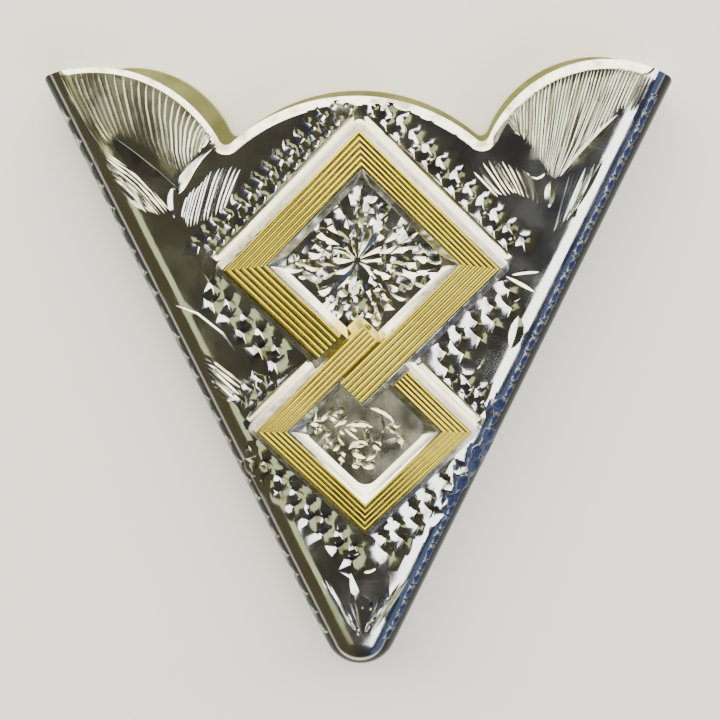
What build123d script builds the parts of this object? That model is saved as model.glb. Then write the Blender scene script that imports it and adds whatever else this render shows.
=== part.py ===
from build123d import *
import math
import os

# A Western collar tip: a flat V-shaped metal pocket that slides over the point of a shirt collar.
# It lies on its back. +Z is the front, +Y the open lobed end, -Y the tip, and the origin is the
# bottom centre of its box. Millimetres.

# Pocket
overall_height = 43.4          # tip to the top of the lobes
thickness = 5.6                # back to front
sheet = 0.5                    # front, rolled sides and flange
side_half_angle = 24.4         # each side from the centre line
tip_radius = 2.7
least_tip_radius = 0.6         # inside the sheet and at the flange
roll_radius = 2.4              # outside radius of the rolled sides
flange_inset = 4.0             # from the outer side to the flange's free edge

# Mouth, in plan: two lobes and a hump between them. The front sheet and the back plate are cut
# by hand and differ a little. A lobe's offset is from the centre line to its centre.
lobes = {
    "front": {
        "left": {"radius": 9.25, "offset": 17.1, "top": 21.4},
        "right": {"radius": 8.1, "offset": 16.2, "top": overall_height / 2},
    },
    "back": {
        "left": {"radius": 7.3, "offset": 15.5, "top": 21.15},
        "right": {"radius": 7.7, "offset": 16.0, "top": overall_height / 2},
    },
}
hump = {
    "front": {"radius": 12.6, "top": 19.45},
    "back": {"radius": 12.5, "top": 19.55},
}
corner_radius = 0.6
notch_radius = 0.5
edge_bevel = 0.3               # on the front's lobed edge, in depth
edge_bevel_width = 0.5

# Back plate
plate = 0.45
plate_inset = 2.5              # from the outer side to the plate's edge
seat_gap = 0.03

# Ridged diamonds, in turned axes: p runs up to the right, q up to the left
overlay_turn = 45.4
frame_height = 0.88
slope_run = 0.5                # side slope, from the top edge to the foot
lap_height = 0.42              # where one bar passes under the other
lap_gap = 0.03
groove_depth = 0.13
groove_share = 0.5             # of the ridge pitch
large_centre = (6.11, 5.40)
large_side = 12.95
large_opening_centre = (6.40, 5.57)
large_opening = 9.10
large_ridges = 6
small_centre = (-1.89, -2.51)
small_side = 10.45
small_opening_centre = (-1.83, -2.54)
small_opening = 7.45
small_ridges = 5
split_q = 1.14                 # where the two parallel bars lie side by side
tie_half_width = 0.3           # of the low strip that joins a parallel bar to its own frame
overrun = 0.1                  # of a bar past the one that it crosses
far = 20.0                     # beyond the diamonds, for cuts

past = 6.0                     # how far blanks and cutters run past what they trim
trim_margin = 0.02             # of the mouth's cutter outside the sides

# Worked out from the above
beyond_mouth = overall_height / 2 + past
side_slope = math.tan(math.radians(side_half_angle))
side_cos = math.cos(math.radians(side_half_angle))
side_sin = math.sin(math.radians(side_half_angle))
apex_y = -overall_height / 2 - tip_radius * (1 / side_sin - 1)
foot_z = thickness + seat_gap
lap_z = thickness + lap_height


def side_x(y, inset=0.0):
    # Half width of the V at height y, with its sides moved in by inset
    return (y - apex_y) * side_slope - inset / side_cos


def apex(inset=0.0):
    # Where the two sides would meet without the rounded tip
    return (0.0, apex_y + inset / side_sin)


def v_outline(inset, top):
    # Plan of the V with its tip rounded, cut off straight at y = top
    right = side_x(top, inset)
    rim = Polyline((-right, top), apex(inset), (right, top), close=True)
    face = make_face(rim)
    tip = face.vertices().sort_by(Axis.Y)[0]
    return fillet(tip, max(tip_radius - inset, least_tip_radius))


def rolled_body(inset, top):
    # The V with its long edges rounded at the front and at the back
    height = thickness - 2 * inset
    body = Pos(0, 0, inset) * extrude(v_outline(inset, top), height)
    level = body.edges().filter_by(lambda e: abs(e.tangent_at(0.5).Z) < 0.01)
    rolled = level.filter_by(lambda e: e.center().Y < top - 0.01)
    return fillet(rolled, roll_radius - inset)


def circles_meet(centre_a, radius_a, centre_b, radius_b):
    # The upper of the two points where two circles cross
    dx = centre_b[0] - centre_a[0]
    dy = centre_b[1] - centre_a[1]
    distance = math.hypot(dx, dy)
    along = (distance**2 + radius_a**2 - radius_b**2) / (2 * distance)
    across = math.sqrt(radius_a**2 - along**2)
    x = centre_a[0] + (along * dx - across * dy) / distance
    y = centre_a[1] + (along * dy + across * dx) / distance
    return (x, y)


def lobe_points(cut, hand, margin):
    # Corner at the side, top, and notch beside the hump, as for a lobe on the right
    radius = lobes[cut][hand]["radius"]
    top = lobes[cut][hand]["top"]
    centre = (lobes[cut][hand]["offset"], top - radius)
    hump_centre = (0.0, hump[cut]["top"] - hump[cut]["radius"])
    notch = circles_meet(hump_centre, hump[cut]["radius"], centre, radius)
    # The side line crosses the lobe's circle at this distance along it from the centre's foot
    foot = (centre[0] - side_x(centre[1], -margin)) * side_cos
    reach = math.sqrt(radius**2 - foot**2)
    corner_y = centre[1] + foot * side_sin + reach * side_cos
    corner = (side_x(corner_y, -margin), corner_y)
    crown = (centre[0], top)
    return corner, crown, notch


def mouth_outline(cut, margin):
    # Plan of the whole pocket up to the lobed mouth, with its sides moved out by margin
    corner, crown, notch = lobe_points(cut, "right", margin)
    mirrored = [(-x, y) for x, y in lobe_points(cut, "left", margin)]
    left_corner, left_crown, left_notch = mirrored
    lines = [
        Line(apex(-margin), corner),
        ThreePointArc(corner, crown, notch),
        ThreePointArc(notch, (0.0, hump[cut]["top"]), left_notch),
        ThreePointArc(left_notch, left_crown, left_corner),
        Line(left_corner, apex(-margin)),
    ]
    face = make_face(lines)
    corners = face.vertices().sort_by(Axis.Y)[-2:]
    face = fillet(corners, corner_radius)
    notches = face.vertices().filter_by(lambda v: abs(v.X) < hump[cut]["radius"] and v.Y > 0)
    return fillet(notches, notch_radius)


def mouth_prism(cut):
    # Trims a piece to the lobed mouth
    return Pos(0, 0, -past) * extrude(mouth_outline(cut, trim_margin), thickness + 2 * past)


def shell():
    walls = rolled_body(0.0, beyond_mouth) - rolled_body(sheet, beyond_mouth + past)
    opening = v_outline(flange_inset, beyond_mouth + past)
    window = Pos(0, 0, -past) * extrude(opening, past + 2 * sheet)
    pocket = (walls - window) & mouth_prism("front")
    front = pocket.faces().sort_by(Axis.Z)[-1]
    lobed_edge = pocket.edges().filter_by(GeomType.CIRCLE).group_by(Axis.Z)[-1]
    return chamfer(lobed_edge, edge_bevel_width, edge_bevel, reference=front)


def back_plate():
    blank = extrude(v_outline(plate_inset, beyond_mouth), plate)
    return (Pos(0, 0, sheet + seat_gap) * blank) & mouth_prism("back")


def block(p_low, p_high, q_low, q_high, z_low, z_high):
    # A plain box between the given limits in the turned axes
    size = (p_high - p_low, q_high - q_low, z_high - z_low)
    middle = ((p_low + p_high) / 2, (q_low + q_high) / 2, (z_low + z_high) / 2)
    return Pos(*middle) * Box(*size)


def ridge_profile(ridges):
    # Steps across a bar, from its outer top edge (0) to its inner one (1), and the depth there
    pitch = 1 / (ridges - groove_share)
    steps = []
    for i in range(ridges):
        start = i * pitch
        steps.append((start, 0.0))
        steps.append((start + pitch * (1 - groove_share), 0.0))
        if i < ridges - 1:
            steps.append((start + pitch * (1 - groove_share / 2), groove_depth))
    return steps


def bar_section(outer, inner, ridges):
    # Section of one bar as (position, z): outer foot, ridged top, inner foot
    top_z = thickness + frame_height
    away = 1 if outer > inner else -1
    points = [(outer + away * slope_run, foot_z)]
    for share, depth in ridge_profile(ridges):
        points.append((outer + (inner - outer) * share, top_z - depth))
    points.append((inner - away * slope_run, foot_z))
    return points


def ridged_ring(centre, side, opening_centre, opening, ridges):
    # A square frame whose ridges are mitred at the corners
    limits = []
    for axis in (0, 1):
        for sign in (-1, 1):
            outer = centre[axis] + sign * side / 2
            inner = opening_centre[axis] + sign * opening / 2
            limits.append(bar_section(outer, inner, ridges))
    p_low, p_high, q_low, q_high = limits
    rings = []
    for k in range(len(p_low)):
        z = p_low[k][1]
        rings.append([
            (p_low[k][0], q_low[k][0], z),
            (p_high[k][0], q_low[k][0], z),
            (p_high[k][0], q_high[k][0], z),
            (p_low[k][0], q_high[k][0], z),
        ])
    faces = []
    for k in range(len(rings)):
        this = rings[k]
        other = rings[(k + 1) % len(rings)]
        for c in range(4):
            d = (c + 1) % 4
            corners = [this[c], this[d], other[d], other[c]]
            faces.append(Face(Wire.make_polygon(corners, close=True)))
    return Solid(Shell(faces))


def straight_bar(outer, inner, ridges, p_low, p_high):
    # One bar with its ridges running straight to both ends, along p
    points = bar_section(outer, inner, ridges)
    wire = Wire.make_polygon([(p_low, q, z) for q, z in points], close=True)
    return extrude(Face(wire), p_high - p_low, dir=(1, 0, 0))


large_p_low = large_centre[0] - large_side / 2
large_q_low = large_centre[1] - large_side / 2
large_open_p = large_opening_centre[0] - large_opening / 2
large_open_q = large_opening_centre[1] - large_opening / 2
small_p_high = small_centre[0] + small_side / 2
small_q_high = small_centre[1] + small_side / 2
small_open_p = small_opening_centre[0] + small_opening / 2
small_open_q = small_opening_centre[1] + small_opening / 2
tie_low = split_q - tie_half_width
tie_high = split_q + tie_half_width

# Feet of the two bars that pass underneath, each with the lap's clearance
large_under = (large_p_low - slope_run - lap_gap, large_open_p + slope_run + lap_gap)
small_under = (small_open_p - slope_run - lap_gap, small_p_high + slope_run + lap_gap)


def large_diamond():
    ring = ridged_ring(large_centre, large_side, large_opening_centre, large_opening, large_ridges)
    end_p = small_under[1] + overrun
    half_gap = lap_gap / 2
    # At the bottom corner the lower right bar runs straight to its end
    ring -= block(-far, end_p, -far, split_q, 0, far)
    bar = straight_bar(large_q_low, large_open_q, large_ridges, large_p_low, end_p)
    bar -= block(-far, far, split_q - half_gap, far, 0, far)
    # The lower left bar passes under the small diamond, beside the parallel bar
    covered = small_q_high + slope_run + lap_gap
    ring -= block(-far, end_p, split_q - half_gap, covered, lap_z - half_gap, far)
    ring -= block(large_under[1], end_p, split_q - half_gap, covered, 0, far)
    tie = block(large_p_low, small_under[0], tie_low, tie_high, foot_z, lap_z - half_gap)
    frame = ring + bar + tie
    # The lower right bar passes over the small diamond
    frame -= block(small_under[0], small_under[1], -far, split_q, 0, lap_z + half_gap)
    return frame.rotate(Axis.Z, overlay_turn)


def small_diamond():
    ring = ridged_ring(small_centre, small_side, small_opening_centre, small_opening, small_ridges)
    end_p = large_under[0] - overrun
    beside_p = large_p_low - lap_gap
    half_gap = lap_gap / 2
    # At the top corner the upper left bar runs straight to its end
    ring -= block(end_p, far, split_q, far, 0, far)
    bar = straight_bar(small_q_high, small_open_q, small_ridges, end_p, small_p_high)
    bar -= block(beside_p, far, -far, split_q + half_gap, 0, far)
    # The upper right bar passes under the large diamond, beside the parallel bar
    covered = large_q_low - slope_run - lap_gap
    ring -= block(beside_p, far, covered, split_q + half_gap, lap_z - half_gap, far)
    ring -= block(beside_p, small_under[0], covered, split_q + half_gap, 0, far)
    tie = block(large_under[1], small_p_high, tie_low, tie_high, foot_z, lap_z - half_gap)
    frame = ring + bar + tie
    # The upper left bar passes over the large diamond
    frame -= block(large_under[0], large_under[1], split_q, far, 0, lap_z + half_gap)
    return frame.rotate(Axis.Z, overlay_turn)


os.makedirs("parts", exist_ok=True)
export_step(shell(), "parts/shell.step")
export_step(back_plate(), "parts/back_plate.step")
export_step(large_diamond(), "parts/large_diamond.step")
export_step(small_diamond(), "parts/small_diamond.step")
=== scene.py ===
import math
import random

import bmesh
import bpy
import numpy as np
from mathutils import Matrix, Vector, noise
from mathutils.geometry import delaunay_2d_cdt


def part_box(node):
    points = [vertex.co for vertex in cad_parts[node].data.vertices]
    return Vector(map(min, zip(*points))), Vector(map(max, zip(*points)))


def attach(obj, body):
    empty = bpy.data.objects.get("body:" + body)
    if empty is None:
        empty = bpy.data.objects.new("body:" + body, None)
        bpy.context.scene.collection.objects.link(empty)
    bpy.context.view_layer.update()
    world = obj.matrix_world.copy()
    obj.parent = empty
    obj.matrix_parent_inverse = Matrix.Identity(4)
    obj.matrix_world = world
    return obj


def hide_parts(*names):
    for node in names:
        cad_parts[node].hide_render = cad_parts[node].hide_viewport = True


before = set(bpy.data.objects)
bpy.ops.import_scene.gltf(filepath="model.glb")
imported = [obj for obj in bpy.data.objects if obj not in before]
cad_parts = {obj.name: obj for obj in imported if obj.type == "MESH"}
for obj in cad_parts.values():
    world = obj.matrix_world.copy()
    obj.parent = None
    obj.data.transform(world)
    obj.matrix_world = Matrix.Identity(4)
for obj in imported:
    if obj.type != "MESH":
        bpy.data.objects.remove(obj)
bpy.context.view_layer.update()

# A Western collar tip lying on its back. Lengths are in millimetres and turn into metres when a
# mesh is made. +Z is the front, +Y the lobed mouth, -Y the tip.
mm = 0.001

# Pocket, as the frame's shell has it
shell_low, shell_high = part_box("shell")
thickness = shell_high.z / mm
overall_height = (shell_high.y - shell_low.y) / mm
sheet = 0.5
side_angle = math.radians(24.4)
tip_radius = 2.7
roll_radius = 2.4
flange_inset = 4.0
window_tip_radius = 0.6
corner_radius = 0.6
notch_radius = 0.5
lobe = {
    -1: {"radius": 9.25, "offset": 17.1, "top": 21.4},
    1: {"radius": 8.1, "offset": 16.2, "top": overall_height / 2},
}
hump = {"radius": 12.6, "top": 19.45}

# Worked out from the above
side_up = np.array([math.sin(side_angle), math.cos(side_angle)])
side_out = np.array([math.cos(side_angle), -math.sin(side_angle)])
tip_centre = np.array([0.0, tip_radius - overall_height / 2])
flat_tip_radius = tip_radius - roll_radius
quarter_turn = roll_radius * math.pi / 2
wall = thickness - 2 * roll_radius
front_reach = quarter_turn + wall
hump_centre = np.array([0.0, hump["top"] - hump["radius"]])

# Fineness of the shell's mesh
mouth_step = 0.2
side_stations = 66
tip_stations = 9
roll_rows = 18
bottom_rows = 10
flange_rows = 3
flat_step = 0.9
wave_height = 0.02
wave_length = 4.0
least_gap = 0.15
least_area = 1e-6

edge_bevel = 0.28              # of the front's lobed edge
rim_width = 0.60               # of that bevel
left_rim_width = 0.36          # of that bevel on the left lobe
left_lobe_end = -9.4
rim_curve = 1.5
rim_shares = (0.33, 0.66, 1.0)
blunt_end = 0.05               # a cut at least this wide at its end gets a fold there
set_back = 0.45                # of the flange's end from the front's mouth
bevel_fade = 0.8               # past the line where the side starts to roll over
plain_depth = 0.004            # below this a point still belongs to the plain sheet

# Diamonds, in turned axes: p runs up to the right, q up to the left
overlay_turn = math.radians(45.4)
slope = 0.57                   # plan width of a bar's side slope
band = 0.5                     # plain band outside the upper bars
large = {"p": (-0.465, 12.585), "q": (-1.075, 11.975), "open_p": (1.85, 10.95), "open_q": (1.02, 10.12),
         "ridges": 6}
small = {"p": (-7.115, 3.335), "q": (-7.735, 2.715), "open_p": (-5.555, 1.895), "open_q": (-6.265, 1.185),
         "ridges": 5}

foot_z = 5.605
top_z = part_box("large_diamond")[1].z / mm
wall_run = 0.12                # steep upper part of a side slope
wall_drop = 0.45
groove = 0.085                 # between two ridges
end_run = 0.35                 # plan width of the slope at a bar's straight end
split_q = 1.14                 # where the two parallel bars lie side by side
lap_z = 6.02                   # where one bar passes under the other
lap_gap = 0.03
crossing = (-0.1, 2.9, 6.0)    # middle of the place where the diamonds cross
far = 30.0
corner_steps = 5

chance = random.Random(11)     # unevenness of hand work


def mirrored(vector, hand):
    return np.array([hand * vector[0], vector[1]])


def lobe_centre(hand):
    # As for a lobe on the right
    return np.array([lobe[hand]["offset"], lobe[hand]["top"] - lobe[hand]["radius"]])


def side_point(along, inset):
    # Plan point on the right, a distance up the side from the tip's centre and in from the side
    return tip_centre + side_up * along + side_out * (tip_radius - inset)


def line_meets_circle(inset, centre, radius):
    # How far up the side the line at this inset leaves the circle
    start = side_point(0.0, inset) - centre
    middle = -np.dot(start, side_up)
    nearest = start + side_up * middle
    return middle + math.sqrt(radius**2 - np.dot(nearest, nearest))


def corner_centre(hand):
    # Centre of the small round between the side and the lobe
    radius = lobe[hand]["radius"] - corner_radius
    return side_point(line_meets_circle(corner_radius, lobe_centre(hand), radius), corner_radius)


def mouth_along(hand, inset):
    # How far up the side the mouth's edge crosses the line at this inset
    centre = corner_centre(hand)
    toward = (centre - lobe_centre(hand)) / np.linalg.norm(centre - lobe_centre(hand))
    joint_inset = corner_radius * (1 - np.dot(toward, side_out))
    if inset < joint_inset:
        along = np.dot(centre - tip_centre, side_up)
        return along + math.sqrt(corner_radius**2 - (corner_radius - inset) ** 2)
    return line_meets_circle(inset, lobe_centre(hand), lobe[hand]["radius"])


def circles_meet(centre_a, radius_a, centre_b, radius_b):
    # The upper of the two points where two circles cross
    gap = centre_b - centre_a
    distance = np.linalg.norm(gap)
    along = (distance**2 + radius_a**2 - radius_b**2) / (2 * distance)
    across = math.sqrt(radius_a**2 - along**2)
    unit = gap / distance
    return centre_a + unit * along + np.array([-unit[1], unit[0]]) * across


def arc(centre, radius, start, end, step=mouth_step):
    count = max(2, math.ceil(abs(end - start) * radius / step))
    angles = np.linspace(start, end, count + 1)
    return centre + radius * np.column_stack([np.cos(angles), np.sin(angles)])


def bearing(vector):
    return math.atan2(vector[1], vector[0])


def half_mouth(hand):
    # Plan of the mouth's edge from the side's corner to the middle, as for the right side
    centre = lobe_centre(hand)
    radius = lobe[hand]["radius"]
    corner = corner_centre(hand)
    notch = circles_meet(hump_centre, hump["radius"] + notch_radius, centre, radius + notch_radius)
    into_lobe = bearing(corner - centre)
    round_corner = arc(corner, corner_radius, bearing(side_out), into_lobe, mouth_step / 3)
    crown = arc(centre, radius, into_lobe, bearing(notch - centre))
    dip = arc(notch, notch_radius, bearing(centre - notch), bearing(hump_centre - notch), mouth_step / 2)
    rise = arc(hump_centre, hump["radius"], bearing(notch - hump_centre), math.pi / 2)
    return np.vstack([round_corner[:-1], crown[:-1], dip[:-1], rise])


def unroll(plan, hand):
    # Plan points of the front, laid out flat beyond the line where the side starts to roll over
    across = (plan - tip_centre) @ side_out
    over = np.clip(across - flat_tip_radius, 0.0, roll_radius)
    laid = roll_radius * np.arcsin(over / roll_radius)
    return (plan + side_out * (laid - over)[:, None]) * [hand, 1]


def mouth_edge():
    # The mouth's edge laid out flat, from the foot of the right wall to that of the left
    halves = []
    for hand in (1, -1):
        foot = side_point(mouth_along(hand, 0.0), 0.0)
        foot = foot + side_out * (front_reach - roll_radius)
        laid = unroll(half_mouth(hand), hand)
        wall_foot = mirrored(foot, hand)
        halves.append(np.vstack([wall_foot, (wall_foot + laid[0]) / 2, laid]))
    return np.vstack([halves[0], halves[1][::-1][1:]])


def beyond_flat(points):
    # Distance past the line where the front starts to roll over, and the direction out from it
    offset = points - tip_centre
    hand = np.where(offset[:, 0] < 0, -1.0, 1.0)
    out = np.column_stack([hand * side_out[0], np.full(len(hand), side_out[1])])
    along = offset[:, 0] * hand * side_up[0] + offset[:, 1] * side_up[1]
    radius = np.linalg.norm(offset, axis=1)
    round_tip = along < 0
    safe_radius = np.maximum(radius, 1e-9)
    out[round_tip] = (offset / safe_radius[:, None])[round_tip]
    distance = np.where(round_tip, radius, np.sum(offset * out, axis=1)) - flat_tip_radius
    return distance, out


def roll_up(points, inward):
    # Places laid-out points on the front, the rolled side and the wall, sunk in by inward
    distance, out = beyond_flat(points)
    over = np.clip(distance, 0.0, None)
    edge = points - out * over[:, None]
    turn = np.clip(over / roll_radius, 0.0, math.pi / 2)
    drop = np.clip(over - quarter_turn, 0.0, None)
    radius = roll_radius - inward
    plan = edge + out * (radius * np.sin(turn))[:, None]
    height = thickness - roll_radius + radius * np.cos(turn) - drop
    return np.column_stack([plan, height])


def side_row(distance, inset, shortened=0.0):
    # Laid-out row along both sides and round the tip, from the right corner to the left one
    sides = {}
    for hand in (1, -1):
        reach = mouth_along(hand, inset) - shortened
        sides[hand] = [tip_centre + side_up * reach * share + side_out * (flat_tip_radius + distance)
                       for share in np.linspace(1.0, 0.0, side_stations + 1)]
    right = sides[1]
    left = [mirrored(point, -1) for point in sides[-1][::-1]]
    start = bearing(side_out)
    angles = np.linspace(start, -math.pi - start, 2 * tip_stations + 1)[1:-1]
    tip = [tip_centre + (flat_tip_radius + distance) * np.array([math.cos(a), math.sin(a)])
           for a in angles]
    return np.array(right + tip + left)


def inside(points, outline):
    # Which points lie inside a closed outline
    result = np.zeros(len(points), bool)
    x, y = points[:, 0], points[:, 1]
    for a, b in zip(outline, np.roll(outline, -1, axis=0)):
        if a[1] == b[1]:
            continue
        crosses = (a[1] > y) != (b[1] > y)
        result ^= crosses & (x < a[0] + (b[0] - a[0]) * (y - a[1]) / (b[1] - a[1]))
    return result


def triangulate(outline, points, lines):
    # Triangles inside the outline through all the points and along all the lines.
    # Returns the vertices, the triangles and which vertex each outline point became.
    vertices = [tuple(p) for p in outline]
    edges = [(i, (i + 1) % len(outline)) for i in range(len(outline))]
    vertices += [tuple(p) for p in points]
    for line in lines:
        first = len(vertices)
        vertices += [tuple(p) for p in line]
        edges += [(first + i, first + i + 1) for i in range(len(line) - 1)]
    made = delaunay_2d_cdt([Vector(v) for v in vertices], edges, [], 0, 1e-4)
    corners = np.array([tuple(v) for v in made[0]])
    triangles = np.array(made[2])
    middles = corners[triangles].mean(axis=1)
    span_a = corners[triangles[:, 1]] - corners[triangles[:, 0]]
    span_b = corners[triangles[:, 2]] - corners[triangles[:, 0]]
    area = np.abs(span_a[:, 0] * span_b[:, 1] - span_a[:, 1] * span_b[:, 0]) / 2
    triangles = triangles[inside(middles, outline) & (area > least_area)]
    became = {}
    for index, sources in enumerate(made[3]):
        for source in sources:
            became[source] = index
    return corners, triangles, [became[i] for i in range(len(outline))]


def mouth_distance(points, edge):
    # Distance of each point from the mouth's edge
    nearest = np.full(len(points), 1e9)
    for a, b in zip(edge[:-1], edge[1:]):
        span = b - a
        share = np.clip((points - a) @ span / (span @ span), 0.0, 1.0)
        gap = np.linalg.norm(points - a - share[:, None] * span, axis=1)
        nearest = np.minimum(nearest, gap)
    return nearest


def flange_row(share, inset):
    # Plan row on the flange between the foot of the rolled side (share 0) and the window (share 1)
    foot = side_row(0.0, inset, set_back)
    window_y = tip_centre[1] + (flange_inset + window_tip_radius - tip_radius) / math.sin(side_angle)
    window_centre = np.array([0.0, window_y])
    straight_from = (window_centre - tip_centre) @ side_up
    half_arc = math.pi / 2 - side_angle
    run = straight_from + half_arc * flat_tip_radius
    row = []
    for index, point in enumerate(foot):
        hand = -1 if index > len(foot) // 2 else 1
        local = mirrored(point - tip_centre, hand)
        along = local @ side_up
        if along >= straight_from:
            target = local - side_out * (flange_inset - roll_radius) + tip_centre
        else:
            if along > 0:
                travelled = straight_from - along
            else:
                travelled = straight_from + flat_tip_radius * (bearing(side_out) - bearing(local))
            angle = bearing(side_out) - half_arc * min(travelled / run, 1.0)
            target = window_centre + window_tip_radius * np.array([math.cos(angle), math.sin(angle)])
        target = mirrored(target, hand)
        row.append(point + (target - point) * share)
    return np.array(row)


def bottom_rows_of(inward):
    # Rows of the rolled side below the wall and of the flange, on the outside or the inside
    radius = roll_radius - inward
    rows = []
    for step in range(bottom_rows + 1):
        turn = math.pi / 2 * step / bottom_rows
        inset = roll_radius * (1 - math.cos(turn))
        plan = side_row(radius * math.cos(turn), inset, set_back * math.sin(turn))
        height = roll_radius - radius * math.sin(turn)
        rows.append(np.column_stack([plan, np.full(len(plan), height)]))
    for step in range(1, flange_rows + 1):
        share = step / flange_rows
        inset = roll_radius + (flange_inset - roll_radius) * share
        plan = flange_row(share, inset)
        rows.append(np.column_stack([plan, np.full(len(plan), inward)]))
    return rows


# Graver cuts. Each follows a spine laid out on the front, and is a V with its own width on each
# side and its own depth at every station of the spine.
profiles = {
    "line": {"at": [0, 0.1, 0.3, 0.7, 0.9, 1], "width": [0, 0.7, 1, 1, 0.7, 0],
             "depth": [0, 0.7, 1, 1, 0.7, 0]},
    "leaf": {"at": [0, 0.12, 0.3, 0.5, 0.7, 0.88, 1], "width": [0, 0.5, 0.88, 1, 0.88, 0.5, 0],
             "depth": [0, 0.5, 0.9, 1, 0.9, 0.5, 0]},
    "dart": {"at": [0, 0.3, 0.6, 0.9, 1], "width": [0.02, 0.3, 0.62, 1, 1], "depth": [0, 0.35, 0.7, 1, 0]},
    "tear": {"at": [0, 0.25, 0.5, 0.72, 0.9, 1], "width": [0, 0.4, 0.78, 1, 0.7, 0],
             "depth": [0, 0.45, 0.85, 1, 0.7, 0]},
    "kite": {"at": [0, 0.3, 0.62, 1], "width": [0.03, 0.5, 1, 0], "depth": [0, 0.55, 1, 0]},
    "scoop": {"at": [0, 0.3, 0.6, 0.82, 0.92, 1], "width": [0.05, 0.45, 0.8, 1, 0.85, 0.3],
              "depth": [0, 0.35, 0.7, 1, 0.6, 0]},
    "strip": {"at": [0, 0.02, 0.98, 1], "width": [0.6, 1, 1, 0.6], "depth": [0, 1, 1, 0]},
    "stroke": {"at": [0, 0.3, 0.6, 0.8, 0.93, 1], "width": [0, 0.6, 0.95, 1, 0.7, 0.25],
               "depth": [0, 0.45, 0.85, 1, 0.55, 0]},
}
cuts = []
satin_patches = []


def through(points, at):
    # Points of a smooth curve through two to four given points, at shares of its length
    points = np.array(points, float)
    gaps = np.linalg.norm(np.diff(points, axis=0), axis=1)
    share = np.concatenate([[0.0], np.cumsum(gaps)]) / gaps.sum()
    return np.column_stack([np.polyval(np.polyfit(share, axis, len(points) - 1), at) for axis in points.T])


def cut(shape, points, width, depth, lean=0.5):
    # Adds one cut. lean is the part of its width on the left of its direction.
    profile = profiles[shape]
    spine = through(points, np.array(profile["at"]))
    wide = np.array(profile["width"]) * width
    cuts.append({
        "spine": spine,
        "left": wide * lean,
        "right": wide * (1 - lean),
        "depth": np.array(profile["depth"]) * depth,
    })


def left_of(line):
    # Unit directions to the left of a line at each of its points
    step = np.gradient(line, axis=0)
    step = step / np.linalg.norm(step, axis=1)[:, None]
    return np.column_stack([-step[:, 1], step[:, 0]])


def outlines(one):
    # The lines along which one cut folds the sheet: both edges, the keel and the ribs
    spine = one["spine"]
    left = spine + left_of(spine) * one["left"][:, None]
    right = spine - left_of(spine) * one["right"][:, None]
    ribs = [np.array([left[i], spine[i], right[i]]) for i in range(1, len(spine) - 1)]
    if one["left"][-1] + one["right"][-1] > blunt_end:
        ribs.append(np.array([left[-1], spine[-1], right[-1]]))
    return [left, right, spine] + ribs


def cut_depth(points, one):
    # Depth of one cut below the sheet at each point
    spine = one["spine"]
    deepest = np.zeros(len(points))
    reach = max(one["left"].max(), one["right"].max())
    near = np.all((points > spine.min(0) - reach) & (points < spine.max(0) + reach), axis=1)
    close = points[near]
    found = np.zeros(len(close))
    for i in range(len(spine) - 1):
        span = spine[i + 1] - spine[i]
        offset = close - spine[i]
        share = np.clip(offset @ span / (span @ span), 0.0, 1.0)
        gap = np.linalg.norm(offset - share[:, None] * span, axis=1)
        on_left = span[0] * offset[:, 1] - span[1] * offset[:, 0] > 0
        width_a = np.where(on_left, one["left"][i], one["right"][i])
        width_b = np.where(on_left, one["left"][i + 1], one["right"][i + 1])
        width = np.maximum(width_a + (width_b - width_a) * share, 1e-6)
        depth = one["depth"][i] + (one["depth"][i + 1] - one["depth"][i]) * share
        found = np.maximum(found, depth * (1 - gap / width))
    deepest[near] = found
    return deepest


def bevel_width(points):
    # The rim along the mouth is narrower on the left lobe
    return np.where(points[:, 0] < left_lobe_end, left_rim_width, rim_width)


def sunk(points, edge):
    # How far each laid-out point of the front lies below the plain sheet
    depth = np.zeros(len(points))
    for one in cuts:
        depth = np.maximum(depth, cut_depth(points, one))
    over, _ = beyond_flat(points)
    fade = np.clip(1 - over / bevel_fade, 0.0, 1.0)
    near_edge = np.clip(1 - mouth_distance(points, edge) / bevel_width(points), 0.0, 1.0)
    rim = edge_bevel * near_edge**rim_curve
    return np.maximum(depth, rim * fade)


def turned(p, q):
    # From the diamonds' turned axes to the plan
    c, s = math.cos(overlay_turn), math.sin(overlay_turn)
    return np.array([p * c - q * s, p * s + q * c])


def uneven(amount):
    return chance.uniform(-amount, amount)


def fan(guides, count, width, depth, shape="line", lean=0.5, satin=False):
    # Lines spread evenly between a few guide lines. A satin fan has a dull sheet between its lines.
    guides = np.array([through(g, [0.0, 0.5, 1.0]) for g in guides])
    if satin:
        satin_patches.append((np.vstack([guides[:, 0], guides[::-1, 2]]), 1.0))
    at = np.linspace(0, len(guides) - 1, count)
    for position in at:
        low = min(int(position), len(guides) - 2)
        share = position - low
        line = guides[low] * (1 - share) + guides[low + 1] * share
        line = line + np.array([[uneven(0.03), uneven(0.08)] for _ in range(3)])
        cut(shape, line, width * (1 + uneven(0.2)), depth * (1 + uneven(0.3)), lean)


def hung(guides, hand, gap):
    # Moves the first point of each guide line to this distance inside a lobe's edge
    centre = mirrored(lobe_centre(hand), hand)
    radius = lobe[hand]["radius"] - gap
    starts = [np.array(guide[0]) - centre for guide in guides]
    return [[centre + start / np.linalg.norm(start) * radius] + guide[1:]
            for start, guide in zip(starts, guides)]


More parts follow.
